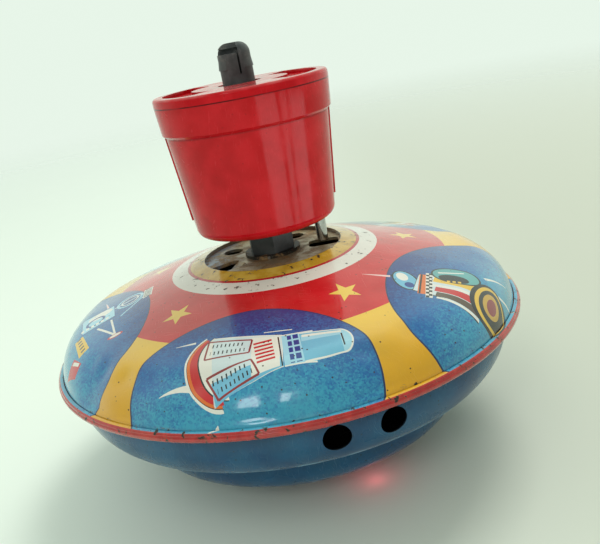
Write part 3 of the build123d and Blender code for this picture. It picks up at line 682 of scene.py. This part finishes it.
def redPlastic():
    material, tree, surface, point, colour = gritPlastic(
        "redPlastic", "ab0913", "b80d18", 0.1, 0.6, "d8323c",
        {"Specular IOR Level": 0.22, "Subsurface Weight": 0.1, "Subsurface Scale": 0.002})
    height = split(tree, point)[2]
    seam = lineAt(tree, height, plasticLook["seamAt"], 0.22)
    broken = ramp(tree, noise(tree, point, size=5.0, detail=3.0), 0.3, 0.5, toLow=0.45)
    colour = mixInk(tree, maths(tree, "MULTIPLY", seam, broken), colour, ink(plasticLook["seam"]))
    # a darker line just below the collar's step: painted shade under its overhang
    groove = lineAt(tree, height, plasticLook["collarShadeAt"], 0.35, toHigh=0.5)
    colour = mixInk(tree, groove, colour, ink(plasticLook["groove"]))
    # lighter pink patches on the lid's top
    onLid = ramp(tree, height, *plasticLook["lidTopFrom"])
    lidTopPatches = maths(tree, "MULTIPLY", onLid, ramp(tree, noise(tree, point, size=6.0, detail=5.0), 0.35, 0.7))
    colour = mixInk(tree, maths(tree, "MULTIPLY", lidTopPatches, 0.22), colour, ink(plasticLook["lidTopTint"]))
    feed(tree, surface.inputs["Base Color"], colour)
    return material


def darkPlastic():
    material, tree, surface, point, colour = gritPlastic(
        "darkPlastic", "2b2e30", "3d4143", 0.42, 1.0, "7f8480", {})
    # the stem's top is painted lighter grey towards its end: painted highlight, in patches that also stand for
    # rubbing
    onTop = ramp(tree, split(tree, point)[2], *plasticLook["sheenAndRubbingFrom"])
    patchy = ramp(tree, noise(tree, point, size=2.2, detail=5.0, rough=0.65), 0.42, 0.68)
    sheenAndRubbing = maths(tree, "MULTIPLY", maths(tree, "MULTIPLY", onTop, patchy), 0.55)
    feed(tree, surface.inputs["Base Color"], mixInk(tree, sheenAndRubbing, colour, ink(plasticLook["sheenAndRubbing"])))
    return material


def tipPlastic():
    material, tree, surface, _, colour = gritPlastic(
        "tipPlastic", "c4101e", "e01c2c", 0.12, 0.5, "f08a8a",
        {"Transmission Weight": 0.35, "Subsurface Weight": 0.4, "Subsurface Scale": 0.004})
    feed(tree, surface.inputs["Base Color"], colour)
    return material


pinLook = {"steel": ("b4b6b8", "d6d8d8"), "stain": "5f564a", "drawn": (6.0, 6.0, 0.25), "bump": 0.02}


def brightPin():
    material, tree, surface, point = newMaterial("brightPin", {"Metallic": 1.0, "Roughness": 0.16})
    drawn = noise(tree, vectorMaths(tree, "MULTIPLY", point, pinLook["drawn"]), size=1.0, detail=3.0)
    stain = ramp(tree, noise(tree, point, size=1.6, detail=4.0, rough=0.65), 0.55, 0.72)
    colour = twoTone(tree, drawn, pinLook["steel"])
    colour = mixInk(tree, maths(tree, "MULTIPLY", stain, 0.6), colour, ink(pinLook["stain"]))
    feed(tree, surface.inputs["Base Color"], colour)
    matt = maths(tree, "MULTIPLY_ADD", stain, 0.3, 0.1)
    feed(tree, surface.inputs["Roughness"], maths(tree, "MULTIPLY_ADD", drawn, 0.12, matt))
    feed(tree, surface.inputs["Normal"], bumpFrom(tree, drawn, pinLook["bump"]))
    return material


finishes = {
    "blueEnamel": blueEnamel(), "hubSteel": hubSteel(), "redPlastic": redPlastic(),
    "darkPlastic": darkPlastic(), "tipPlastic": tipPlastic(), "brightPin": brightPin(),
    "tubeSteel": agedMetal("tubeSteel", "8d8b86", cover=0.35, metallic=0.9, roughness=0.35),
    "washerSteel": agedMetal("washerSteel", "3a3733", cover=0.45, metallic=0.7, roughness=0.45),
    "springSteel": agedMetal("springSteel", "4b5361", cover=0.2, metallic=0.95, roughness=0.3),
}
nodeFinish = {
    "lower_shell": "blueEnamel", "hub_plate": "hubSteel", "hub_tube": "tubeSteel", "hub_boss": "tubeSteel",
    "floor_washer": "washerSteel", "hub_washer": "washerSteel", "tip_cap": "tipPlastic",
    "tip_point": "brightPin", "stem": "darkPlastic", "arbor": "darkPlastic", "handle_body": "redPlastic",
    "handle_lid": "redPlastic", "lock_pin": "brightPin", "lift_spring": "springSteel",
    "mainspring": "springSteel", "spring_anchor": "tubeSteel", "spring_plate": "springSteel",
    "spring_cover": "springSteel",
}
for node, finish in nodeFinish.items():
    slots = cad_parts[node].data.materials
    slots.clear()
    slots.append(finishes[finish])
print("finishes laid on the frame's pieces")

# the printed upper shell, spun from its section and dented as it has been in use

shell = {
    "wellRadius": 17.5, "wellFloor": 51.8, "wellTop": 52.8, "wellLip": 0.5, "shoulder": (48.5, 44.4),
    "sheet": 0.4, "roofSteps": 16, "around": 360,
    "arcCentre": (45.282, 32.521), "arcRadius": 12.307, "arcEnd": 6.5, "innerStart": 9.0, "arcSteps": 26,
    "hemCentre": (57.8, 33.0), "hemRadius": 1.2, "hemWall": 0.4, "hemTurns": (97.0, -90.0), "hemSteps": 34,
    "hollowTurns": (-90.0, 128.0), "hollowSteps": 18, "groove": 0.16, "grooveTurn": 24.0, "grooveWide": 9.0,
    "dentRadius": 40.0, "dentFloor": 34.4, "dentFade": 1.2, "roofOut": (0.2615, 0.9652), "cornerAngle": 50.0,
}
crumples = {
    "front": {"count": 36, "turns": (-148.0, -60.0), "radii": (51.5, 56.8),
              "size": (1.5, 3.6), "depth": (0.16, 0.55)},
    "all": {"count": 34, "turns": (-180.0, 180.0), "radii": (45.0, 56.8),
            "size": (2.0, 5.0), "depth": (0.03, 0.14)},
}


def sweepPoints(centre, radius, first, last, steps):
    turns = [math.radians(first + (last - first) * i / steps) for i in range(steps + 1)]
    return [(centre[0] + radius * math.cos(t), centre[1] + radius * math.sin(t)) for t in turns]


def shellSection():
    collar = Vector((shell["wellRadius"], shell["wellTop"]))
    slope = Vector(shell["shoulder"]) - collar
    lift = math.degrees(math.atan2(slope.x, -slope.y))  # the way the roof's outer face points
    steps = shell["roofSteps"]
    roof = [tuple(collar + slope * i / steps) for i in range(steps)]
    arc = sweepPoints(shell["arcCentre"], shell["arcRadius"], lift, shell["arcEnd"], shell["arcSteps"])
    hem = []
    for r, z in sweepPoints(shell["hemCentre"], shell["hemRadius"], *shell["hemTurns"], shell["hemSteps"]):
        across, up = r - shell["hemCentre"][0], z - shell["hemCentre"][1]
        turn = math.degrees(math.atan2(up, across))
        dip = shell["groove"] * math.exp(-((turn - shell["grooveTurn"]) / shell["grooveWide"]) ** 2)
        out = Vector((across, up)).normalized()
        hem.append((r - out.x * dip, z - out.y * dip))
    hollow = sweepPoints(shell["hemCentre"], shell["hemRadius"] - shell["hemWall"],
                         *shell["hollowTurns"], shell["hollowSteps"])
    inner = sweepPoints(shell["arcCentre"], shell["arcRadius"] - shell["sheet"],
                        shell["innerStart"], lift, shell["arcSteps"])
    drop = Vector((math.cos(math.radians(lift)), math.sin(math.radians(lift)))) * shell["sheet"]
    under = [tuple(collar + slope * i / steps - drop) for i in range(steps - 1, 0, -1)]
    wellBack = shell["wellRadius"] + shell["sheet"]
    well = [(wellBack, shell["wellTop"] - shell["wellLip"]), (wellBack, shell["wellFloor"]),
            (shell["wellRadius"], shell["wellFloor"])]
    return roof + arc + hem + hollow + inner + under + well


def denter(seed):
    dice = random.Random(seed)
    marks = []
    for group in crumples.values():
        for _ in range(group["count"]):
            marks.append((math.radians(dice.uniform(*group["turns"])), dice.uniform(*group["radii"]),
                          dice.uniform(*group["size"]), dice.uniform(*group["depth"]), dice.uniform(1.0, 2.2)))
    return marks


def dentShell(mesh, marks):
    centre = Vector(shell["arcCentre"])
    for vert in mesh.verts:
        radius = math.hypot(vert.co.x, vert.co.y)
        if radius < shell["dentRadius"] or vert.co.z < shell["dentFloor"]:
            continue
        turn = math.atan2(vert.co.y, vert.co.x)
        out = Vector(shell["roofOut"])
        if radius > shell["shoulder"][0]:
            out = (Vector((radius, vert.co.z)) - centre).normalized()
        push = 0.0
        for markTurn, markRadius, size, depth, stretch in marks:
            side = abs(turn - markTurn)
            side = min(side, 2 * math.pi - side) * radius / stretch
            reach = ((radius - markRadius) ** 2 + side ** 2) / size ** 2
            if reach < 6:  # further out a dent is too shallow to matter
                push += depth * math.exp(-reach)
        push *= min(1.0, (vert.co.z - shell["dentFloor"]) / shell["dentFade"])
        vert.co.x -= out.x * push * math.cos(turn)
        vert.co.y -= out.x * push * math.sin(turn)
        vert.co.z -= out.y * push


def finishPiece(mesh, name, body, material, replaced):
    bmesh.ops.remove_doubles(mesh, verts=mesh.verts, dist=0.001)
    bmesh.ops.recalc_face_normals(mesh, faces=mesh.faces)
    bmesh.ops.scale(mesh, vec=(mm, mm, mm), verts=mesh.verts)
    data = bpy.data.meshes.new(name)
    mesh.to_mesh(data)
    mesh.free()
    piece = bpy.data.objects.new(name, data)
    scene.collection.objects.link(piece)
    data.materials.append(material)
    data.polygons.foreach_set("use_smooth", [True] * len(data.polygons))
    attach(piece, body)
    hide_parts(*replaced)
    return piece


def printedShell():
    mesh = bmesh.new()
    points = [mesh.verts.new((r, 0, z)) for r, z in shellSection()]
    edges = [mesh.edges.new((a, b)) for a, b in zip(points, points[1:] + points[:1])]
    bmesh.ops.spin(mesh, geom=points + edges, cent=(0, 0, 0), axis=(0, 0, 1), dvec=(0, 0, 0),
                   angle=2 * math.pi, steps=shell["around"], use_merge=True, use_duplicate=False)
    dentShell(mesh, denter(seed=7))
    piece = finishPiece(mesh, "printed_shell", "spinner", printedTin(), ["upper_shell"])
    piece.data.set_sharp_from_angle(angle=math.radians(shell["cornerAngle"]))


printedShell()
print("printed shell spun and dented")

# floor, room and lights; sizes and places in metres, powers in watts

studio = {
    "floorRadius": 3.0, "floorSides": 96, "floorRough": 0.65, "floorShine": 0.25, "fade": (140.0, 1200.0),
    "floorLeft": "e6f0e7", "floorShadedRight": "c6cabd", "floorShadeSpan": (-90.0, 120.0),
    "clothSize": 30.0, "clothTone": "c9d4c8", "clothShare": 0.05,
    "room": "edfbee", "back": 0.95, "front": 0.41, "roomTurn": 0.45, "aim": (0.0, 0.0, 0.03),
    "dayTint": (1.0, 0.98, 0.93), "plainTint": (1.0, 1.0, 1.0),
    "keyPlace": (0.42, 0.5, 1.1), "keySize": (0.5, 0.5), "keyPower": 7.0,
    "frontPlace": (-0.22, -0.62, 0.5), "frontSize": (0.12, 0.2), "frontPower": 0.42,
    "fillPlace": (-0.25, -0.75, 0.7), "fillSize": (0.9, 0.9), "fillPower": 2.5,
    "panes": ((-76.0, -51.0), (-46.0, -38.0), (-34.5, -12.0)), "paneReach": 0.135, "paneLow": -0.004,
    "paneTop": 0.066, "paneGlow": 2.0, "paneOn": ("handle_body", "handle_lid", "stem"),
    "glowPlace": (0.013, -0.030, 0.006), "glowPower": 0.0028, "glowTint": (1.0, 0.12, 0.16), "glowSoft": 0.008,
}


def makeFloor():
    mesh = bmesh.new()
    bmesh.ops.create_circle(mesh, cap_ends=True, segments=studio["floorSides"], radius=studio["floorRadius"])
    data = bpy.data.meshes.new("floor")
    mesh.to_mesh(data)
    mesh.free()
    floor = bpy.data.objects.new("floor", data)
    scene.collection.objects.link(floor)
    material, tree, surface, point = newMaterial("paleFloor", {
        "Roughness": studio["floorRough"], "Specular IOR Level": studio["floorShine"]})
    # the floor's colour darkens from left to right: painted shade
    side = ramp(tree, split(tree, point)[0], *studio["floorShadeSpan"])
    colour = twoTone(tree, side, (studio["floorLeft"], studio["floorShadedRight"]))
    cloth = maths(tree, "MULTIPLY", noise(tree, point, studio["clothSize"], detail=4.0), studio["clothShare"])
    feed(tree, surface.inputs["Base Color"], mixInk(tree, cloth, colour, ink(studio["clothTone"])))
    far = ramp(tree, vectorMaths(tree, "LENGTH", point), *studio["fade"])
    below = addNode(tree, "NewGeometry").outputs["Backfacing"]  # seen from below, the floor is clear
    clear = addNode(tree, "BsdfTransparent").outputs[0]
    blend = addNode(tree, "MixShader", inputs={
        0: maths(tree, "MAXIMUM", far, below), 1: surface.outputs[0], 2: clear})
    tree.links.new(blend.outputs[0], tree.nodes["Material Output"].inputs["Surface"])
    data.materials.append(material)
    return floor


def makeRoom():
    world = bpy.data.worlds.new("room")
    world.use_nodes = True
    tree = world.node_tree
    room = tree.nodes["Background"]
    room.inputs["Color"].default_value = ink(studio["room"])
    depth = split(tree, addNode(tree, "TexCoord").outputs["Generated"])[1]  # brighter behind the top
    shade = ramp(tree, depth, -studio["roomTurn"], studio["roomTurn"], studio["front"], studio["back"])
    seen = maths(tree, "MULTIPLY", addNode(tree, "LightPath").outputs["Is Camera Ray"], studio["back"])
    feed(tree, room.inputs["Strength"], maths(tree, "MAXIMUM", shade, seen))
    scene.world = world


def hangLamp(data, place, power, tint):
    data.energy = power
    data.color = tint
    lamp = bpy.data.objects.new(data.name, data)
    lamp.location = place
    lamp.visible_camera = False
    scene.collection.objects.link(lamp)
    return lamp


def addWindow(name, place, aim, size, power, tint, glossy=True):
    data = bpy.data.lights.new(name, "AREA")
    data.shape = "RECTANGLE"
    data.size, data.size_y = size
    lamp = hangLamp(data, place, power, tint)
    lamp.rotation_euler = (Vector(aim) - Vector(place)).to_track_quat("-Z", "Y").to_euler()
    lamp.visible_glossy = glossy
    return lamp


def lightOnly(name, objects):
    chosen = bpy.data.collections.new(name)
    for thing in objects:
        chosen.objects.link(thing)
    return chosen


def makeLights(floor):
    windows = (("keyWindow", "key", "dayTint", False), ("frontWindow", "front", "plainTint", True),
               ("fillCard", "fill", "dayTint", False))
    for name, which, tint, glossy in windows:
        addWindow(name, studio[which + "Place"], studio["aim"], studio[which + "Size"],
                  studio[which + "Power"], studio[tint], glossy)
    launcherOnly = lightOnly("launcherOnly", [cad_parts[node] for node in studio["paneOn"]])
    height = (studio["paneLow"] + studio["paneTop"]) / 2
    tall = studio["paneTop"] - studio["paneLow"]
    reach = studio["paneReach"]
    for number, (first, last) in enumerate(studio["panes"]):
        middle = math.radians((first + last) / 2)
        wide = 2 * reach * math.tan(math.radians((last - first) / 2))
        place = (reach * math.cos(middle), reach * math.sin(middle), height)
        power = studio["paneGlow"] * math.pi * wide * tall
        pane = addWindow(f"pane{number}", place, (0, 0, height), (wide, tall), power, studio["plainTint"])
        pane.light_linking.receiver_collection = launcherOnly
    data = bpy.data.lights.new("tipGlow", "POINT")  # red light that the tip throws on the floor
    data.shadow_soft_size = studio["glowSoft"]
    glow = hangLamp(data, studio["glowPlace"], studio["glowPower"], studio["glowTint"])
    glow.light_linking.receiver_collection = lightOnly("floorOnly", [floor])


floor = makeFloor()
makeRoom()
makeLights(floor)
print("floor, room and lights set")
